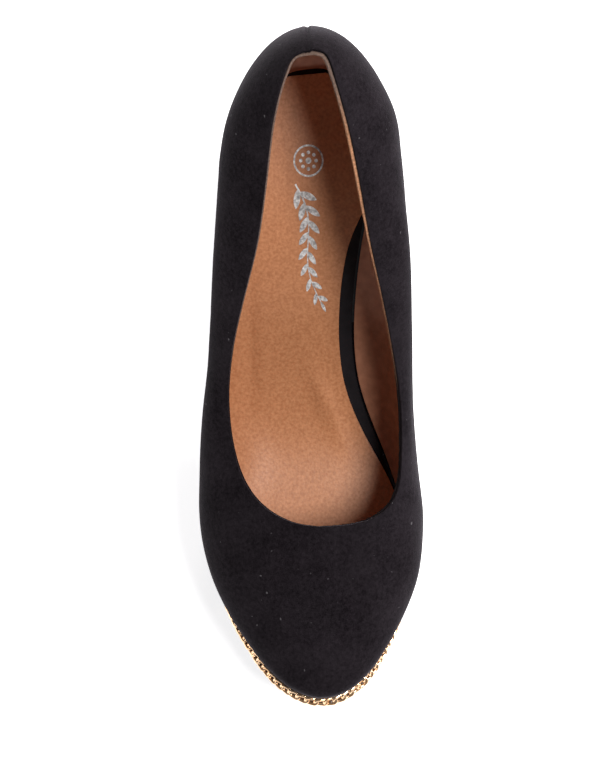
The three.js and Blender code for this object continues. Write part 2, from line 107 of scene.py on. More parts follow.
def addNoise(nodes, links, place, scale, detail, rough):
    made = nodes.new("ShaderNodeTexNoise")
    made.inputs["Scale"].default_value = scale
    made.inputs["Detail"].default_value = detail
    made.inputs["Roughness"].default_value = rough
    links.new(place, made.inputs["Vector"])
    return made.outputs["Fac"]


def addRamp(nodes, links, value, stops):
    made = nodes.new("ShaderNodeValToRGB")
    ramp = made.color_ramp
    while len(ramp.elements) < len(stops):
        ramp.elements.new(0.5)
    for element, (at, colour) in zip(ramp.elements, stops):
        element.position = at
        element.color = (*colour, 1.0)
    links.new(value, made.inputs["Fac"])
    return made.outputs["Color"]


def addRange(nodes, links, value, low, high, fromLow=0.0, fromHigh=1.0):
    made = nodes.new("ShaderNodeMapRange")
    made.inputs["From Min"].default_value = fromLow
    made.inputs["From Max"].default_value = fromHigh
    made.inputs["To Min"].default_value = low
    made.inputs["To Max"].default_value = high
    links.new(value, made.inputs["Value"])
    return made.outputs["Result"]


def addBump(nodes, links, height, distance, strength, before=None):
    made = nodes.new("ShaderNodeBump")
    made.inputs["Distance"].default_value = distance
    made.inputs["Strength"].default_value = strength
    links.new(height, made.inputs["Height"])
    if before:
        links.new(before, made.inputs["Normal"])
    return made.outputs["Normal"]


# A mix of two colours, each a fixed one or a socket
def addMix(nodes, links, share, first, second):
    made = nodes.new("ShaderNodeMix")
    made.data_type = "RGBA"
    links.new(share, made.inputs["Factor"])
    for socket, colour in (("A", first), ("B", second)):
        if isinstance(colour, tuple):
            made.inputs[socket].default_value = (*colour, 1.0)
        else:
            links.new(colour, made.inputs[socket])
    return made.outputs["Result"]


# The sum of several noises, each with its share
def addLayers(nodes, links, layers):
    total = None
    for value, share in layers:
        step = nodes.new("ShaderNodeMath")
        step.operation = "MULTIPLY_ADD"
        links.new(value, step.inputs[0])
        step.inputs[1].default_value = share
        if total:
            links.new(total, step.inputs[2])
        else:
            step.inputs[2].default_value = 0.0
        total = step.outputs[0]
    return total


# Where most of a noise's values lie
noiseSpan = (0.3, 0.7)


def addTone(nodes, links, value, values):
    colours = (values["dark"], values["light"])
    return addRamp(nodes, links, value, list(zip(noiseSpan, colours)))


suedeValues = {
    "dark": (0.0052, 0.0039, 0.0050),
    "light": (0.0195, 0.0157, 0.0190),
    "patchScale": 70.0,            # brushed areas of the nap
    "tuftScale": 750.0,
    "napScale": 2300.0,
    "shares": (1.1, 1.3, 1.0),     # of patches, tufts and nap in the tone
    "toneSpread": 0.42,
    "fleckScale": 600.0,
    "fleckFrom": (0.835, 0.88),    # the peaks of the noise that show as flecks
    "fleck": (0.085, 0.080, 0.085),
    "rough": 0.95,
    "gloss": 0.03,
    "sheen": 0.15,
    "sheenRoughness": 0.32,
    "sheenTint": (0.80, 0.74, 0.82),
    "napHeight": 0.16 * mm,
    "napStrength": (0.5, 0.7),     # of tufts and nap
}


def suedeMaterial(values):
    material, nodes, links, shader, place = newMaterial("suede")
    patches = addNoise(nodes, links, place, values["patchScale"], 4.0, 0.6)
    tufts = addNoise(nodes, links, place, values["tuftScale"], 3.0, 0.6)
    nap = addNoise(nodes, links, place, values["napScale"], 2.0, 0.7)
    tone = addLayers(nodes, links, list(zip((patches, tufts, nap), values["shares"])))
    middle, spread = sum(values["shares"]) / 2, values["toneSpread"]
    share = addRange(nodes, links, tone, 0.0, 1.0, middle - spread, middle + spread)
    ground = addRamp(nodes, links, share, [(0.0, values["dark"]), (1.0, values["light"])])
    flecks = addNoise(nodes, links, place, values["fleckScale"], 0.0, 0.5)
    fleckShare = addRange(nodes, links, flecks, 0.0, 1.0, *values["fleckFrom"])
    colour = addMix(nodes, links, fleckShare, ground, values["fleck"])
    links.new(colour, shader.inputs["Base Color"])
    shader.inputs["Roughness"].default_value = values["rough"]
    shader.inputs["Specular IOR Level"].default_value = values["gloss"]
    shader.inputs["Sheen Weight"].default_value = values["sheen"]
    shader.inputs["Sheen Roughness"].default_value = values["sheenRoughness"]
    shader.inputs["Sheen Tint"].default_value = (*values["sheenTint"], 1.0)
    height, (tuftStrength, napStrength) = values["napHeight"], values["napStrength"]
    bumped = addBump(nodes, links, tufts, height, tuftStrength)
    bumped = addBump(nodes, links, nap, height, napStrength, bumped)
    links.new(bumped, shader.inputs["Normal"])
    return material


# What all leathers and rubbers share
grainValues = {
    "smoothness": 0.6,
    "fineScale": 2.5,          # the pores, set against the grain
    "fineHeight": 0.6,
    "strength": (0.6, 0.7),    # of pores and grain
}


def leatherMaterial(name, values):
    material, nodes, links, shader, place = newMaterial(name)
    tone = addNoise(nodes, links, place, values["toneScale"], 3.0, 0.5)
    links.new(addTone(nodes, links, tone, values), shader.inputs["Base Color"])
    grain = nodes.new("ShaderNodeTexVoronoi")
    grain.feature = "SMOOTH_F1"
    grain.inputs["Scale"].default_value = values["grainScale"]
    grain.inputs["Smoothness"].default_value = grainValues["smoothness"]
    links.new(place, grain.inputs["Vector"])
    fineScale = values["grainScale"] * grainValues["fineScale"]
    fine = addNoise(nodes, links, place, fineScale, 2.0, 0.6)
    rough = addRange(nodes, links, fine, *values["rough"], *noiseSpan)
    links.new(rough, shader.inputs["Roughness"])
    shader.inputs["Specular IOR Level"].default_value = values["gloss"]
    height, (fineStrength, grainStrength) = values["grainHeight"], grainValues["strength"]
    bumped = addBump(nodes, links, fine, height * grainValues["fineHeight"], fineStrength)
    bumped = addBump(nodes, links, grain.outputs["Distance"], height, grainStrength, bumped)
    links.new(bumped, shader.inputs["Normal"])
    return material


sockLeather = {
    "dark": (0.37, 0.145, 0.060),
    "light": (0.51, 0.225, 0.104),
    "toneScale": 900.0,
    "grainScale": 1100.0,
    "grainHeight": 0.05 * mm,
    "rough": (0.42, 0.56),
    "gloss": 0.5,
}

liningLeather = {
    "dark": (0.38, 0.168, 0.098),
    "light": (0.50, 0.230, 0.138),
    "toneScale": 300.0,
    "grainScale": 1100.0,
    "grainHeight": 0.05 * mm,
    "rough": (0.50, 0.64),
    "gloss": 0.4,
}

boardCover = {
    "dark": (0.0075, 0.0063, 0.0077),
    "light": (0.0130, 0.0108, 0.0133),
    "toneScale": 200.0,
    "grainScale": 1800.0,
    "grainHeight": 0.04 * mm,
    "rough": (0.70, 0.85),
    "gloss": 0.20,
}

outsoleRubber = {
    "dark": (0.0105, 0.0102, 0.0112),
    "light": (0.016, 0.0155, 0.017),
    "toneScale": 120.0,
    "grainScale": 900.0,
    "grainHeight": 0.08 * mm,
    "rough": (0.48, 0.62),
    "gloss": 0.45,
}

tipRubber = {
    "dark": (0.008, 0.008, 0.009),
    "light": (0.012, 0.012, 0.013),
    "toneScale": 150.0,
    "grainScale": 1500.0,
    "grainHeight": 0.02 * mm,
    "rough": (0.38, 0.48),
    "gloss": 0.5,
}

# A backing under the chain's links; its brown is painted shade, the dark brown seen through the
# link holes.
bandBackingShade = {
    "dark": (0.060, 0.030, 0.014),
    "light": (0.115, 0.062, 0.030),
    "toneScale": 500.0,
    "grainScale": 1500.0,
    "grainHeight": 0.04 * mm,
    "rough": (0.45, 0.6),
    "gloss": 0.4,
}


def metalMaterial(name, values):
    material, nodes, links, shader, place = newMaterial(name)
    tone = addNoise(nodes, links, place, values["toneScale"], 2.0, 0.5)
    links.new(addTone(nodes, links, tone, values), shader.inputs["Base Color"])
    shader.inputs["Metallic"].default_value = values["metal"]
    wear = addNoise(nodes, links, place, values["wearScale"], 3.0, 0.6)
    rough = addRange(nodes, links, wear, *values["rough"], *noiseSpan)
    links.new(rough, shader.inputs["Roughness"])
    bumped = addBump(nodes, links, wear, values["wearHeight"], values["wearStrength"])
    links.new(bumped, shader.inputs["Normal"])
    return material


goldPlating = {
    "metal": 0.86,
    "dark": (0.80, 0.48, 0.25),
    "light": (0.96, 0.70, 0.47),
    "toneScale": 260.0,
    "wearScale": 900.0,
    "wearHeight": 0.03 * mm,
    "wearStrength": 0.5,
    "rough": (0.10, 0.22),
}

# The foil's mottling between dark grey and white is painted reflection: it stands in for the
# dark patches that the silver's mirror face shows.
silverFoil = {
    "metal": 0.35,
    "dark": (0.30, 0.29, 0.29),
    "light": (1.0, 1.0, 1.0),
    "toneScale": 850.0,
    "wearScale": 1600.0,
    "wearHeight": 0.02 * mm,
    "wearStrength": 0.5,
    "rough": (0.25, 0.45),
}

# The lining's cut edge, with painted light and shade: tan along the inner side, where the key
# light falls on the rim, grey at the back and along the outer side, painted shade where the rim
# there looks dim, and dark in front
rimEdge = {
    "back": (0.17, 0.115, 0.092),
    "side": (0.46, 0.230, 0.128),
    "front": (0.012, 0.009, 0.010),
    "sideAlong": (-84 * mm, -68 * mm),
    "sideAcross": (-2 * mm, 3 * mm),
    "frontAlong": (-26 * mm, 4 * mm),
    "fuzzScale": 1300.0,
    "fuzz": (0.55, 1.35),
    "fuzzHeight": 0.1 * mm,
    "fuzzStrength": 0.6,
    "rough": 0.9,
    "gloss": 0.1,
}


def rimMaterial(values):
    material, nodes, links, shader, place = newMaterial("lining_edge")
    parted = nodes.new("ShaderNodeSeparateXYZ")
    links.new(place, parted.inputs["Vector"])
    along = addRange(nodes, links, parted.outputs["X"], 0.0, 1.0, *values["sideAlong"])
    across = addRange(nodes, links, parted.outputs["Y"], 0.0, 1.0, *values["sideAcross"])
    both = nodes.new("ShaderNodeMath")
    both.operation = "MULTIPLY"
    links.new(along, both.inputs[0])
    links.new(across, both.inputs[1])
    ahead = addRange(nodes, links, parted.outputs["X"], 0.0, 1.0, *values["frontAlong"])
    # Painted light and shade: the tan of the lit inner side against the grey of the shaded back
    # and outer side
    colour = addMix(nodes, links, both.outputs[0], values["back"], values["side"])
    colour = addMix(nodes, links, ahead, colour, values["front"])
    fuzz = addNoise(nodes, links, place, values["fuzzScale"], 3.0, 0.6)
    tone = nodes.new("ShaderNodeHueSaturation")
    links.new(addRange(nodes, links, fuzz, *values["fuzz"], *noiseSpan), tone.inputs["Value"])
    links.new(colour, tone.inputs["Color"])
    links.new(tone.outputs["Color"], shader.inputs["Base Color"])
    shader.inputs["Roughness"].default_value = values["rough"]
    shader.inputs["Specular IOR Level"].default_value = values["gloss"]
    bumped = addBump(nodes, links, fuzz, values["fuzzHeight"], values["fuzzStrength"])
    links.new(bumped, shader.inputs["Normal"])
    return material


suede = suedeMaterial(suedeValues)
sockTan = leatherMaterial("sock_leather", sockLeather)
liningTan = leatherMaterial("lining_leather", liningLeather)
boardBlack = leatherMaterial("board_cover", boardCover)
outsoleBlack = leatherMaterial("outsole_rubber", outsoleRubber)
tipBlack = leatherMaterial("tip_rubber", tipRubber)
bandBrown = leatherMaterial("band_backing_shade", bandBackingShade)
rimTan = rimMaterial(rimEdge)
gold = metalMaterial("gold_plating", goldPlating)
silver = metalMaterial("silver_foil", silverFoil)
print("materials made")


# Shared steps
weldDistance = 0.002 * mm
cutDistance = 0.0001 * mm
flatAngle = math.radians(40.0)     # triangles that meet flatter than this are joined
sharpAngle = math.radians(45.0)    # edges over this part the sides of a solid
creaseAngle = math.radians(50.0)
trimNeighbours = 7                 # moves of the topline that are averaged
upwards = (0.0, 0.0, 1.0)


# A copy of a CAD node as one skin of four-sided faces
def mergedCopy(node):
    skin = bmesh.new()
    skin.from_mesh(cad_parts[node].data)
    bmesh.ops.remove_doubles(skin, verts=skin.verts, dist=weldDistance)
    bmesh.ops.join_triangles(
        skin, faces=skin.faces,
        angle_face_threshold=flatAngle, angle_shape_threshold=math.pi,
    )
    return skin


# The skin's faces in groups that sharp edges part, the largest group first
def partedFaces(skin):
    left = set(skin.faces)
    groups = []
    while left:
        first = left.pop()
        group, queue = {first}, [first]
        while queue:
            for edge in queue.pop().edges:
                if edge.calc_face_angle(0.0) > sharpAngle:
                    continue
                for face in edge.link_faces:
                    if face in left:
                        left.discard(face)
                        group.add(face)
                        queue.append(face)
        groups.append(group)
    return sorted(groups, key=lambda group: -sum(face.calc_area() for face in group))


# Of several groups, the one that faces up most
def topGroup(groups):
    def facingUp(group):
        return sum(face.normal.z * face.calc_area() for face in group)

    return max(groups, key=facingUp)


def keepFaces(skin, kept):
    others = [face for face in skin.faces if face not in kept]
    bmesh.ops.delete(skin, geom=others, context="FACES")


def creaseSharp(skin):
    layers = skin.edges.layers.float
    creases = layers.get("crease_edge") or layers.new("crease_edge")
    for edge in skin.edges:
        if edge.calc_face_angle(0.0) > creaseAngle:
            edge[creases] = 1.0


# Faces outwards, which the sign of the volume tells
def faceOut(skin):
    bmesh.ops.recalc_face_normals(skin, faces=skin.faces)
    if skin.calc_volume(signed=True) < 0:
        bmesh.ops.reverse_faces(skin, faces=skin.faces)


def makePiece(skin, name, material):
    data = bpy.data.meshes.new(name)
    skin.to_mesh(data)
    skin.free()
    data.materials.append(material)
    data.shade_smooth()
    piece = bpy.data.objects.new(name, data)
    bpy.context.scene.collection.objects.link(piece)
    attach(piece, "root")
    return piece


def smoothed(piece, levels):
    step = piece.modifiers.new("smooth", "SUBSURF")
    step.levels = levels
    step.render_levels = levels
    graph = bpy.context.evaluated_depsgraph_get()
    made = bpy.data.meshes.new_from_object(piece.evaluated_get(graph))
    piece.modifiers.clear()
    piece.data = made
    made.shade_smooth()


def thicken(piece, thickness, even=True):
    step = piece.modifiers.new("wall", "SOLIDIFY")
    step.thickness = thickness
    step.offset = -1.0
    step.use_even_offset = even
    return step


def roundEdges(piece, width, segments=2):
    step = piece.modifiers.new("edges", "BEVEL")
    step.width = width
    step.segments = segments
    step.limit_method = "ANGLE"
    step.angle_limit = sharpAngle


# Lines along the back seam, so that its groove has points to lie on
def addSeamLines(skin, offsets, reach):
    for offset in offsets:
        for side in (-1, 1):
            near = [face for face in skin.faces if face.calc_center_median().x < reach]
            parts = {part for face in near for part in (face, *face.edges, *face.verts)}
            bmesh.ops.bisect_plane(
                skin, geom=list(parts), dist=cutDistance,
                plane_co=(0.0, frameMiddle + side * offset, 0.0), plane_no=(0.0, 1.0, 0.0),
            )


# 1 in the middle, falling off to both sides
def hill(distance, width):
    return math.exp(-(distance / width) ** 2)


# 0 up to the start and 1 from the end on, smooth between them
def ramp(value, start, end):
    share = max(0.0, min(1.0, (value - start) / (end - start)))
    return share * share * (3.0 - 2.0 * share)


# The boundary vertices of the loop that reaches highest
def toplineVerts(skin):
    left = {vert for vert in skin.verts if vert.is_boundary}
    first = max(left, key=lambda vert: vert.co.z)
    found, queue = {first}, [first]
    while queue:
        for edge in queue.pop().link_edges:
            for vert in edge.verts:
                if edge.is_boundary and vert not in found:
                    found.add(vert)
                    queue.append(vert)
    return found


# The topline is drawn back by a width that depends on the place, and the skin
# below it gives way within the reach
def trimTopline(skin, reach, width):
    ring = []
    for vert in toplineVerts(skin):
        inner = [edge.other_vert(vert).co for edge in vert.link_edges if not edge.is_boundary]
        if inner:
            near = min(inner, key=lambda place: (place - vert.co).length)
            ring.append((vert.co.copy(), (near - vert.co).normalized() * width(vert.co)))
    tree = KDTree(len(ring))
    for i, (place, _) in enumerate(ring):
        tree.insert(place, i)
    tree.balance()
    evened = []
    for place, _ in ring:
        near = [ring[i][1] for _, i, _ in tree.find_n(place, trimNeighbours)]
        evened.append(sum(near, Vector()) / len(near))
    for vert in skin.verts:
        _, i, away = tree.find(vert.co)
        if away < reach:
            vert.co += evened[i] * (1.0 - away / reach)


# Upper: suede outside, leather inside
upperValues = {
    "levels": 2,
    "suedeThickness": 0.8 * mm,
    "liningThickness": 0.75 * mm,
    "edgeRounding": 0.3 * mm,
    "liningShown": (0.1 * mm, 1.0 * mm),     # past the suede's edge, outer and inner side
    "liningShownTo": (-60 * mm, -15 * mm),   # along the shoe, where it ends
    "liningShownAcross": (-5 * mm, 5 * mm),
    "frontTrim": 1.0 * mm,
    "frontTrimFrom": (-40 * mm, 0.0),
    "cornerTrim": 1.3 * mm,                  # more at the front corner of the inner side
    "cornerAt": (37 * mm, 22 * mm),
    "cornerReach": 14 * mm,
    "trimReach": 9 * mm,
    "seamLines": (0.0, 0.35 * mm, 0.75 * mm, 1.2 * mm, 1.8 * mm, 2.6 * mm),
    "seamReach": 25 * mm,
    "seamDepth": 0.42 * mm,
    "seamWidth": 0.6 * mm,
    "seamSwell": 0.14 * mm,
    "seamSwellAt": 1.6 * mm,
    "liningSeam": 0.06 * mm,
    "backTuck": 0.7 * mm,                    # the back's widest part is drawn in
    "backTuckAt": 150 * mm,
    "backTuckReach": (24 * mm, 13 * mm),
    "heelFill": 2.1 * mm,                    # the lining comes forward above the seat
    "heelFillFrom": (138 * mm, 118 * mm),
    "heelFillReach": (7 * mm, 10 * mm),
    "sideSwell": (0.5 * mm, 0.9 * mm),       # outer and inner side of the vamp
    "sideSwellAt": 62 * mm,
    "sideSwellReach": 24 * mm,
    "sideSwellAcross": (8 * mm, 24 * mm),
    "toeRidge": 0.16 * mm,
    "toeRidgeWidth": 0.9 * mm,
    "toeRidgeLength": 20 * mm,
    "toeRidgeRise": 12 * mm,
    "waveHeight": 0.14 * mm,
    "waveScale": 38.0,
}
boxLow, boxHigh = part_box("upper")
frameMiddle = sum(corner.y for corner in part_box("heel")) / 2
toeShift = 4.0 * mm
toeFrom = 20.0 * mm


# The middle line across the shoe, that swings in towards the toe
def middleLine(x):
    return frameMiddle + toeShift * max(0.0, (x - toeFrom) / (boxHigh.x - toeFrom)) ** 2


# How far the skin is drawn in at the back
def backTuck(place, values):
    reach = values["backTuckReach"]
    low = hill(place.z - values["backTuckAt"], reach[1])
    return values["backTuck"] * hill(place.x - boxLow.x, reach[0]) * low


def shapeSuede(skin, values):
    skin.normal_update()
    moves = []
    for vert in skin.verts:
        place = vert.co
        side = place.y - middleLine(place.x)
        across = abs(side)
        move = values["waveHeight"] * noise.noise(place * values["waveScale"])
        if place.x < boxLow.x + values["seamReach"]:
            move -= values["seamDepth"] * hill(across, values["seamWidth"])
            swellAt = values["seamSwellAt"]
            move += values["seamSwell"] * hill(across - swellAt, swellAt / 2)
        front = (place.x - (boxHigh.x - values["toeRidgeLength"])) / values["toeRidgeRise"]
        front = max(0.0, min(1.0, front))
        move += values["toeRidge"] * front * hill(across, values["toeRidgeWidth"])
        move -= backTuck(place, values)
        swell = values["sideSwell"][1 if side > 0 else 0]
        swell *= ramp(across, *values["sideSwellAcross"])
        move += swell * hill(place.x - values["sideSwellAt"], values["sideSwellReach"])
        moves.append((vert, vert.normal * move))
    for vert, move in moves:
        vert.co += move


def shapeLining(skin, values):
    skin.normal_update()
    moves = []
    for vert in skin.verts:
        place = vert.co
        move = Vector()
        if place.x < boxLow.x + values["seamReach"]:
            across = place.y - frameMiddle
            move -= vert.normal * values["liningSeam"] * hill(across, values["seamWidth"] / 2)
            move += vert.normal * backTuck(place, values)
            wide, deep = values["heelFillReach"]
            near = hill(across, wide)
            near *= 1.0 - ramp(place.x - boxLow.x, deep, 2 * deep)
            move.x += values["heelFill"] * near * ramp(place.z, *values["heelFillFrom"])
        moves.append((vert, move))
    for vert, move in moves:
        vert.co += move


# Work on a piece's mesh in place
def reshape(piece, steps):
    skin = bmesh.new()
    skin.from_mesh(piece.data)
    steps(skin)
    skin.to_mesh(piece.data)
    skin.free()
    piece.data.shade_smooth()


def makeUpper(values):
    skin = mergedCopy("upper")
    groups = partedFaces(skin)[:2]     # outside and inside
    outer = max(groups, key=lambda group: max(v.co.y for face in group for v in face.verts))
    outerVerts = {vert for face in outer for vert in face.verts}
    inside = skin.copy()
    skin.faces.index_update()
    inside.faces.ensure_lookup_table()
    lining = [face for face in skin.faces if not outerVerts.intersection(face.verts)]
    liningFaces = {inside.faces[face.index] for face in lining}
    keepFaces(skin, outer)
    keepFaces(inside, liningFaces)
    reach = boxLow.x + values["seamReach"]

    def frontTrim(place):
        corner = Vector(values["cornerAt"]) - place.xy
        return (
            values["frontTrim"] * ramp(place.x, *values["frontTrimFrom"])
            + values["cornerTrim"] * hill(corner.length, values["cornerReach"])
        )

    def suedeTrim(place):
        outer, inner = values["liningShown"]
        side = ramp(place.y - frameMiddle, *values["liningShownAcross"])
        shown = outer + (inner - outer) * side
        return frontTrim(place) + shown * (1.0 - ramp(place.x, *values["liningShownTo"]))

    def suedeSteps(skin):
        trimTopline(skin, values["trimReach"], suedeTrim)
        addSeamLines(skin, values["seamLines"], reach)
        shapeSuede(skin, values)

    def liningSteps(skin):
        trimTopline(skin, values["trimReach"], frontTrim)
        addSeamLines(skin, values["seamLines"], reach)
        shapeLining(skin, values)

    shell = makePiece(skin, "suede_upper", suede)
    smoothed(shell, values["levels"])
    reshape(shell, suedeSteps)
    thicken(shell, values["suedeThickness"], False)
    roundEdges(shell, values["edgeRounding"])
    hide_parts("upper")
    inner = makePiece(inside, "upper_lining", liningTan)
    smoothed(inner, values["levels"])
    reshape(inner, liningSteps)
    inner.data.materials.append(rimTan)
    wall = thicken(inner, values["liningThickness"], False)
    wall.material_offset = 1
    wall.material_offset_rim = 1
    roundEdges(inner, values["edgeRounding"])


makeUpper(upperValues)
print("upper made")


# Insole board and sock, each from the top of its solid
def topSheet(node, cuts):
    skin = mergedCopy(node)
    keepFaces(skin, topGroup(partedFaces(skin)[:2]))     # of top and underside
    across = [edge for edge in skin.edges if not edge.is_boundary]
    bmesh.ops.subdivide_edges(skin, edges=across, cuts=cuts, use_grid_fill=True)
    return skin


boardValues = {"thickness": 2.1 * mm, "rounding": 0.4 * mm, "cuts": 7, "levels": 1}


def makeBoard(values):
    sheet = topSheet("insole_board", values["cuts"])
    board = makePiece(sheet, "board_cover", boardBlack)
    smoothed(board, values["levels"])
    thicken(board, values["thickness"])
    roundEdges(board, values["rounding"])
    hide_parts("insole_board")


# Soft troughs and ridges of the sock, in millimetres: middle, half sizes along
# and across, turn in degrees and height
sockFolds = [
    {"at": (-14.0, -22.0), "reach": (18.0, 2.6), "turn": 0.0, "height": -1.1},
    {"at": (2.0, 5.0), "reach": (12.0, 3.4), "turn": 26.0, "height": 1.5},
    {"at": (20.0, -21.5), "reach": (12.0, 6.0), "turn": -10.0, "height": 0.9},
    {"at": (-8.0, -2.0), "reach": (6.0, 12.0), "turn": 0.0, "height": -0.4},
    {"at": (-84.0, 4.0), "reach": (9.0, 8.0), "turn": 0.0, "height": -0.3},
]
sockValues = {
    "thickness": 1.1 * mm,
    "rounding": 0.35 * mm,
    "cuts": 11,
    "levels": 2,
    "waveHeight": 0.10 * mm,
    "waveScale": 60.0,
    "backEnd": (-100.7, -1.9),      # millimetres: a place on its straight back end
    "backTurn": (-14.5, -1.35),     # and the way that end faces
}


# The sock's back end is cut straight
def cutBack(skin, values):
    parts = [*skin.verts, *skin.edges, *skin.faces]
    bmesh.ops.bisect_plane(
        skin, geom=parts, dist=cutDistance, clear_outer=True,
        plane_co=Vector((*values["backEnd"], 0.0)) * mm,
        plane_no=Vector((*values["backTurn"], 0.0)).normalized(),
    )


def shapeSock(piece, values):
    for vertex in piece.data.vertices:
        place = vertex.co
        move = values["waveHeight"] * noise.noise(place * values["waveScale"])
        for fold in sockFolds:
            away = Vector((place.x / mm - fold["at"][0], place.y / mm - fold["at"][1]))
            away.rotate(Matrix.Rotation(-math.radians(fold["turn"]), 2))
            share = hill(away.x, fold["reach"][0]) * hill(away.y, fold["reach"][1])
            move += fold["height"] * mm * share
        vertex.co.z += move


def makeSock(values):
    sheet = topSheet("sock", values["cuts"])
    sock = makePiece(sheet, "leather_sock", sockTan)
    smoothed(sock, values["levels"])
    shapeSock(sock, values)
    reshape(sock, lambda skin: cutBack(skin, values))
    thicken(sock, values["thickness"])
    roundEdges(sock, values["rounding"])
    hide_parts("sock")
    return sock


makeBoard(boardValues)
sock = makeSock(sockValues)
print("sock made")


# Silver foil on the sock: a ring of dots and a sprig
foilValues = {
    "ringAt": (-72.6, -1.0),     # millimetres, as all the lengths here
    "ringRadius": 5.3,
    "ringSides": 72,
    "stroke": 0.62,
    "dots": 8,
    "dotSides": 14,
    "dotsRadius": 2.7,
    "dotSize": 0.62,
    "heartSize": 1.05,
    "stemStart": (-65.0, -5.6),
    "stemEnd": (-28.6, 3.4),
    "stemSwing": 1.9,
    "stemSteps": 48,
    "stemTaper": 0.6,
    "turnStep": 0.01,            # as a share of the stem
    "leafPairs": 8,
    "leafStagger": 0.015,        # as a share of the stem, either way
    "leafSides": 24,
    "leafLength": (6.6, 3.6),    # at the foot and at the tip of the sprig
    "leafWidth": 0.36,           # as a share of its length
    "leafPoint": 0.55,
    "lastLeafWidth": 1.0,
    "leafTurn": 38.0,
    "lift": 0.02,
    "thickness": 0.05,
}


def foilDisc(foil, values, place, size):
    bmesh.ops.create_circle(
        foil, cap_ends=True, segments=values["dotSides"], radius=size,
        matrix=Matrix.Translation((place[0], place[1], 0.0)),
    )


def foilRing(foil, values):
    place, radius = values["ringAt"], values["ringRadius"]
    made = bmesh.ops.create_circle(foil, segments=values["ringSides"], radius=radius)
    edges = foil.edges[:]     # the ring is drawn first, so these are its own
    inner = bmesh.ops.extrude_edge_only(foil, edges=edges)["geom"]
    innerVerts = [part for part in inner if isinstance(part, bmesh.types.BMVert)]
    share = (radius - values["stroke"]) / radius
    bmesh.ops.scale(foil, vec=(share, share, 1.0), verts=innerVerts)
    bmesh.ops.translate(foil, vec=(*place, 0.0), verts=made["verts"] + innerVerts)


# A leaf that is pointed at both ends, from its foot out
def foilLeaf(foil, values, place, turn, length, width):
    sides = values["leafSides"]
    made = bmesh.ops.create_circle(foil, cap_ends=True, segments=sides, radius=1.0)
    for vert in made["verts"]:
        slim = 1.0 - values["leafPoint"] * abs(vert.co.x) ** 3
        vert.co = Vector(((vert.co.x + 1.0) * length / 2, vert.co.y * slim * width / 2, 0.0))
    lay = Matrix.Translation((place[0], place[1], 0.0)) @ Matrix.Rotation(turn, 4, "Z")
    bmesh.ops.transform(foil, matrix=lay, verts=made["verts"])


def stemPoint(values, share):
    start, end = Vector(values["stemStart"]), Vector(values["stemEnd"])
    side = (end - start).normalized().orthogonal()
    return start.lerp(end, share) + side * values["stemSwing"] * math.sin(math.tau * share)


def stemTurn(values, share):
    near = values["turnStep"]
    ahead = stemPoint(values, share + near) - stemPoint(values, share - near)
    return math.atan2(ahead.y, ahead.x)


def foilStem(foil, values):
    made = bmesh.ops.create_grid(foil, x_segments=values["stemSteps"], y_segments=1, size=1.0)
    for vert in made["verts"]:
        share = (vert.co.x + 1.0) / 2
        here, turn = stemPoint(values, share), stemTurn(values, share)
        width = values["stroke"] * (1.0 - values["stemTaper"] * share)
        half = math.copysign(width / 2, vert.co.y)
        vert.co = (here.x - half * math.sin(turn), here.y + half * math.cos(turn), 0.0)


def makeFoil(values):
    foil = bmesh.new()
    ringAt = Vector(values["ringAt"])
    foilRing(foil, values)
    foilDisc(foil, values, ringAt, values["heartSize"])
    for i in range(values["dots"]):
        turn = math.tau * i / values["dots"]
        way = Vector((math.cos(turn), math.sin(turn)))
        foilDisc(foil, values, ringAt + way * values["dotsRadius"], values["dotSize"])
    foilStem(foil, values)
    first, last = values["leafLength"]
    for i in range(values["leafPairs"]):
        share = (i + 0.5) / values["leafPairs"]
        length = first + share * (last - first)
        width = length * values["leafWidth"]
        for side in (-1, 1):
            at = share + side * values["leafStagger"]
            turn = stemTurn(values, at) + side * math.radians(values["leafTurn"])
            foilLeaf(foil, values, stemPoint(values, at), turn, length, width)
    tip, turn = stemPoint(values, 1.0), stemTurn(values, 1.0 - values["turnStep"])
    foilLeaf(foil, values, tip, turn, last, values["lastLeafWidth"])
    bmesh.ops.recalc_face_normals(foil, faces=foil.faces)
    for face in foil.faces:
        if face.normal.z < 0:
            face.normal_flip()
    bmesh.ops.scale(foil, vec=(mm, mm, mm), verts=foil.verts)
    tree = BVHTree.FromObject(sock, bpy.context.evaluated_depsgraph_get())
    for vert in foil.verts:
        start = Vector((vert.co.x, vert.co.y, cadHigh.z))
        vert.co.z = tree.ray_cast(start, -Vector(upwards))[0].z + values["lift"] * mm
    bmesh.ops.triangulate(foil, faces=foil.faces)
    piece = makePiece(foil, "silver_foil", silver)
    piece.data.shade_flat()
    step = piece.modifiers.new("sheet", "SOLIDIFY")
    step.thickness = values["thickness"] * mm
    step.offset = 1.0


makeFoil(foilValues)
print("foil laid")


# Platform, outsole, heel and top piece
coveredParts = [
    {
        "node": "platform", "name": "covered_platform", "material": suede, "slot": "suede",
        "levels": 2, "rounding": 0.5 * mm, "segments": 3,
    },
    {
        "node": "outsole", "name": "sole", "material": outsoleBlack, "slot": "outsole",
        "levels": 2, "rounding": 0.4 * mm, "segments": 2,
        "breastReach": 2 * mm, "breastClosing": 0.8 * mm,    # it reaches back to the heel
    },
    {
        "node": "heel", "name": "covered_heel", "material": suede, "slot": "suede",
        "levels": 2, "rounding": 0.7 * mm, "segments": 3,
    },
    {
        "node": "heel_tip", "name": "top_piece", "material": tipBlack, "slot": "tip",
        "levels": 1, "rounding": 0.35 * mm, "segments": 2,
    },
]


def makeBody(values):
    skin = mergedCopy(values["node"])
    if "breastClosing" in values:
        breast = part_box("outsole")[0].x
        for vert in skin.verts:
            if vert.co.x < breast + values["breastReach"]:
                vert.co.x -= values["breastClosing"]
    creaseSharp(skin)
    piece = makePiece(skin, values["name"], values["material"])
    smoothed(piece, values["levels"])
    roundEdges(piece, values["rounding"], values["segments"])
    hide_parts(values["node"])
    return piece


bodies = {values["node"]: makeBody(values) for values in coveredParts}
print("platform and heel made")


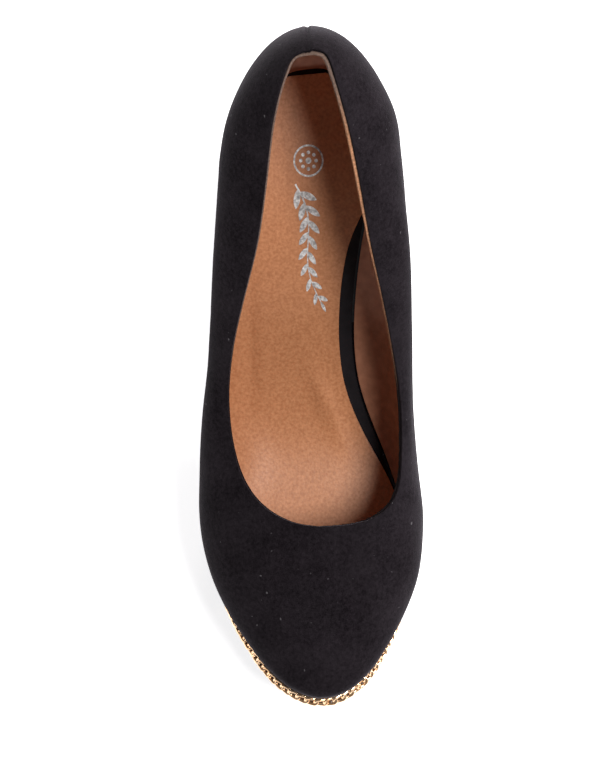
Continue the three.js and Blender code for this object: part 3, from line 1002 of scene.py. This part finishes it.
# Gold chain
chainValues = {
    "pitch": 3.1 * mm,
    "wire": 1.3 * mm,
    "width": 3.8 * mm,
    "out": (0.65 * mm, 1.2 * mm),    # its middle off the rim, at the sides and the toe
    "outFrom": (66 * mm, 98 * mm),   # along the shoe, where it grows
    "innerOut": 0.25 * mm,           # less on the inner side
    "innerFrom": (4 * mm, 16 * mm),
    "rim": (0.35 * mm, 3.0 * mm),    # the slope between these drops carries it
    "rayFrom": 20 * mm,
    "tilt": 22.0,
    "twist": 38.0,
    "sway": 16.0,
    "swayStep": 0.73,
    "around": 10,
    "along": 24,
    "bandWidth": 3.7 * mm,           # the brown band under the links, whose colour paints the shade in the link holes
    "bandDepth": 1.2 * mm,
    "bandFlat": 0.6,
    "bandSides": 16,
}


# The platform's top edge, in order from the outer side round the toe
def platformEdge():
    skin = mergedCopy("platform")
    top = topGroup(partedFaces(skin)[:3])     # of top, underside and sides
    edges = {edge for face in top for edge in face.edges}
    rim = {edge for edge in edges if edge.calc_face_angle(0.0) > sharpAngle}
    ends = sorted({vert for edge in rim for vert in edge.verts}, key=lambda vert: vert.co.x)[:2]
    here = min(ends, key=lambda vert: vert.co.y)
    line, used = [here.co.copy()], set()
    while True:
        ahead = [edge for edge in here.link_edges if edge in rim and edge not in used]
        ahead = [edge for edge in ahead if not (here in ends and edge.other_vert(here) in ends)]
        if not ahead:
            break
        used.add(ahead[0])
        here = ahead[0].other_vert(here)
        line.append(here.co.copy())
    skin.free()
    return line


# Points at even steps along a line
def evenPoints(line, step):
    lengths = [0.0]
    for before, after in zip(line, line[1:]):
        lengths.append(lengths[-1] + (after - before).length)
    count = max(2, round(lengths[-1] / step))
    points, row = [], 0
    for i in range(count + 1):
        reach = lengths[-1] * i / count
        while row < len(line) - 2 and reach > lengths[row + 1]:
            row += 1
        share = (reach - lengths[row]) / (lengths[row + 1] - lengths[row])
        points.append(line[row].lerp(line[row + 1], share))
    return points


# One link: a ring of wire, drawn out to an oval and twisted so that it lies flat
def linkMesh(values):
    link = bmesh.new()
    ringRadius = (values["width"] - values["wire"]) / 2
    upright = Matrix.Rotation(math.pi / 2, 4, "X")
    section = bmesh.ops.create_circle(
        link, segments=values["around"], radius=values["wire"] / 2,
        matrix=Matrix.Translation((ringRadius, 0.0, 0.0)) @ upright,
    )
    bmesh.ops.spin(
        link, geom=section["verts"] + link.edges[:], cent=(0.0, 0.0, 0.0), axis=upwards,
        angle=math.tau, steps=values["along"], use_merge=True,
    )
    bmesh.ops.remove_doubles(link, verts=link.verts, dist=weldDistance)
    bmesh.ops.recalc_face_normals(link, faces=link.faces)
    length = values["pitch"] + 2 * values["wire"]
    stretch = (length - values["width"]) / 2
    for vert in link.verts:
        vert.co.x += math.copysign(stretch, vert.co.x) if abs(vert.co.x) > 1e-6 else 0.0
        turn = math.radians(values["twist"]) * vert.co.x / length
        vert.co = Matrix.Rotation(turn, 3, "X") @ vert.co
    data = bpy.data.meshes.new("link")
    link.to_mesh(data)
    link.free()
    return data


# The middle of the rim's slope below a point of the top edge, with the way down it
def rimSlope(tree, point, outward, values):
    hits = []
    for drop in values["rim"]:
        start = point + outward * values["rayFrom"] - Vector((0.0, 0.0, drop))
        hits.append(tree.ray_cast(start, -outward)[0])
    return (hits[0] + hits[1]) / 2, (hits[1] - hits[0]).normalized()


# Places along the rim, each as a matrix: X along it, Y away from it and Z up it
def rimPlaces(values, step):
    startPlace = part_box("chain")[0].x + values["wire"]
    line = [point for point in platformEdge() if point.x > startPlace]
    points = evenPoints(line, step)
    tree = BVHTree.FromObject(bodies["platform"], bpy.context.evaluated_depsgraph_get())
    places = []
    for i, point in enumerate(points):
        along = (points[min(i + 1, len(points) - 1)] - points[max(i - 1, 0)]).normalized()
        outward = along.cross(Vector(upwards)).normalized()
        seat, down = rimSlope(tree, point, outward, values)
        away = down.cross(along).normalized()
        if away.dot(outward) < 0:
            away.negate()
        turned = Matrix((along, away, away.cross(along))).transposed().to_4x4()
        places.append((seat, away, turned))
    return places


# How far the chain's middle stands off the rim
def chainOut(values, seat):
    sides, toe = values["out"]
    out = sides + ramp(seat.x, *values["outFrom"]) * (toe - sides)
    return out - values["innerOut"] * ramp(seat.y, *values["innerFrom"])


def makeChain(values):
    pattern = linkMesh(values)
    chain = bmesh.new()
    for i, (seat, away, turned) in enumerate(rimPlaces(values, values["pitch"])):
        sway = values["sway"] * noise.noise(Vector((i * values["swayStep"], 0.0, 0.0)))
        roll = Matrix.Rotation(math.pi / 2 + math.radians(values["tilt"] + sway), 4, "X")
        first = len(chain.verts)
        chain.from_mesh(pattern)
        chain.verts.ensure_lookup_table()
        lay = Matrix.Translation(seat + away * chainOut(values, seat)) @ turned @ roll
        bmesh.ops.transform(chain, matrix=lay, verts=chain.verts[first:])
    bpy.data.meshes.remove(pattern)
    faceOut(chain)
    piece = makePiece(chain, "gold_chain", gold)
    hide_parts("chain")


# The band is a flat oval section drawn along the rim
def makeBand(values):
    places = rimPlaces(values, values["pitch"] / 2)
    steps = len(places) - 1
    band = bmesh.new()
    bmesh.ops.create_cone(
        band, cap_ends=True, segments=values["bandSides"], radius1=1.0, radius2=1.0,
        depth=steps, matrix=Matrix.Translation((0.0, 0.0, steps / 2)),
    )
    along = [edge for edge in band.edges if edge.calc_length() > steps / 2]
    bmesh.ops.subdivide_edges(band, edges=along, cuts=steps - 1)
    for vert in band.verts:
        seat, _, turned = places[round(vert.co.z)]
        flat = [math.copysign(abs(part) ** values["bandFlat"], part) for part in vert.co.xy]
        depth = values["bandDepth"] * chainOut(values, seat) / values["out"][1]
        local = Vector((0.0, flat[1] * depth, flat[0] * values["bandWidth"] / 2))
        vert.co = seat + turned.to_3x3() @ local
    faceOut(band)
    makePiece(band, "chain_band", bandBrown)


makeBand(chainValues)
makeChain(chainValues)
print("chain made")


# Stage
stageValues = {
    "floorSize": 12.0,
    "floorDrop": 0.2 * mm,
    "floor": (0.86, 0.86, 0.87),
    "rough": 0.9,
    "gloss": 0.1,
    "world": (1.0, 1.0, 1.0),
    "worldStrength": 0.055,
    "worldShown": 1.0,       # what is seen behind the floor
    "glow": 0.94,            # keeps the paper pale where the shoe shades it
}

keyLight = {
    "from": (0.14, 0.43, 1.0),
    "strength": 3.5,
    "width": 25.0,
    "tint": (1.0, 0.985, 0.97),
}
lightAim = (0.0, 0.0, 0.05)
lights = [
    {
        "name": "fill", "place": (0.3, -0.9, 1.2), "size": 1.0,
        "power": 0.22, "tint": (0.96, 0.98, 1.0),
    },
    {
        "name": "left", "place": (0.1, -1.3, 0.20), "size": 0.4,
        "power": 1.8, "tint": (1.0, 0.97, 0.95),
    },
    {
        "name": "right", "place": (-0.35, 1.25, 0.26), "size": 0.4,
        "power": 10.5, "tint": (1.0, 0.98, 1.0),
    },
    {
        "name": "back", "place": (-1.2, 0.25, 0.34), "size": 0.4,
        "power": 8.0, "tint": (1.0, 0.97, 0.97),
    },
    {
        "name": "front", "place": (1.2, 0.1, 0.35), "size": 0.6,
        "power": 0.15, "tint": (1.0, 0.99, 0.98),
    },
]


def makeStage(values):
    mesh = bmesh.new()
    bmesh.ops.create_grid(mesh, x_segments=2, y_segments=2, size=values["floorSize"] / 2)
    data = bpy.data.meshes.new("floor")
    mesh.to_mesh(data)
    mesh.free()
    floor = bpy.data.objects.new("floor", data)
    floor.location.z = -values["floorDrop"]
    bpy.context.scene.collection.objects.link(floor)
    material, _, _, shader, _ = newMaterial("floor_paper")
    shader.inputs["Base Color"].default_value = (*values["floor"], 1.0)
    shader.inputs["Roughness"].default_value = values["rough"]
    shader.inputs["Specular IOR Level"].default_value = values["gloss"]
    shader.inputs["Emission Color"].default_value = (*values["floor"], 1.0)
    shader.inputs["Emission Strength"].default_value = values["glow"]
    data.materials.append(material)
    world = bpy.data.worlds.new("world")
    world.use_nodes = True
    sky = world.node_tree.nodes["Background"]
    sky.inputs["Color"].default_value = (*values["world"], 1.0)
    rays = world.node_tree.nodes.new("ShaderNodeLightPath")
    strength = addRange(
        world.node_tree.nodes, world.node_tree.links, rays.outputs["Is Camera Ray"],
        values["worldStrength"], values["worldShown"],
    )
    world.node_tree.links.new(strength, sky.inputs["Strength"])
    bpy.context.scene.world = world


def makeKey(values):
    data = bpy.data.lights.new("key", "SUN")
    data.energy = values["strength"]
    data.angle = math.radians(values["width"])
    data.color = values["tint"]
    light = bpy.data.objects.new("key", data)
    light.matrix_world = turnTo(values["from"], (0.0, 0.0, 0.0), upwards)
    bpy.context.scene.collection.objects.link(light)


def makeLight(values):
    data = bpy.data.lights.new(values["name"], "AREA")
    data.shape = "SQUARE"
    data.size = values["size"]
    data.energy = values["power"]
    data.color = values["tint"]
    light = bpy.data.objects.new(values["name"], data)
    light.matrix_world = turnTo(values["place"], lightAim, upwards)
    bpy.context.scene.collection.objects.link(light)


makeStage(stageValues)
makeKey(keyLight)
for values in lights:
    makeLight(values)
bpy.context.scene.view_settings.view_transform = "Standard"
print("stage lit")

bpy.context.view_layer.update()
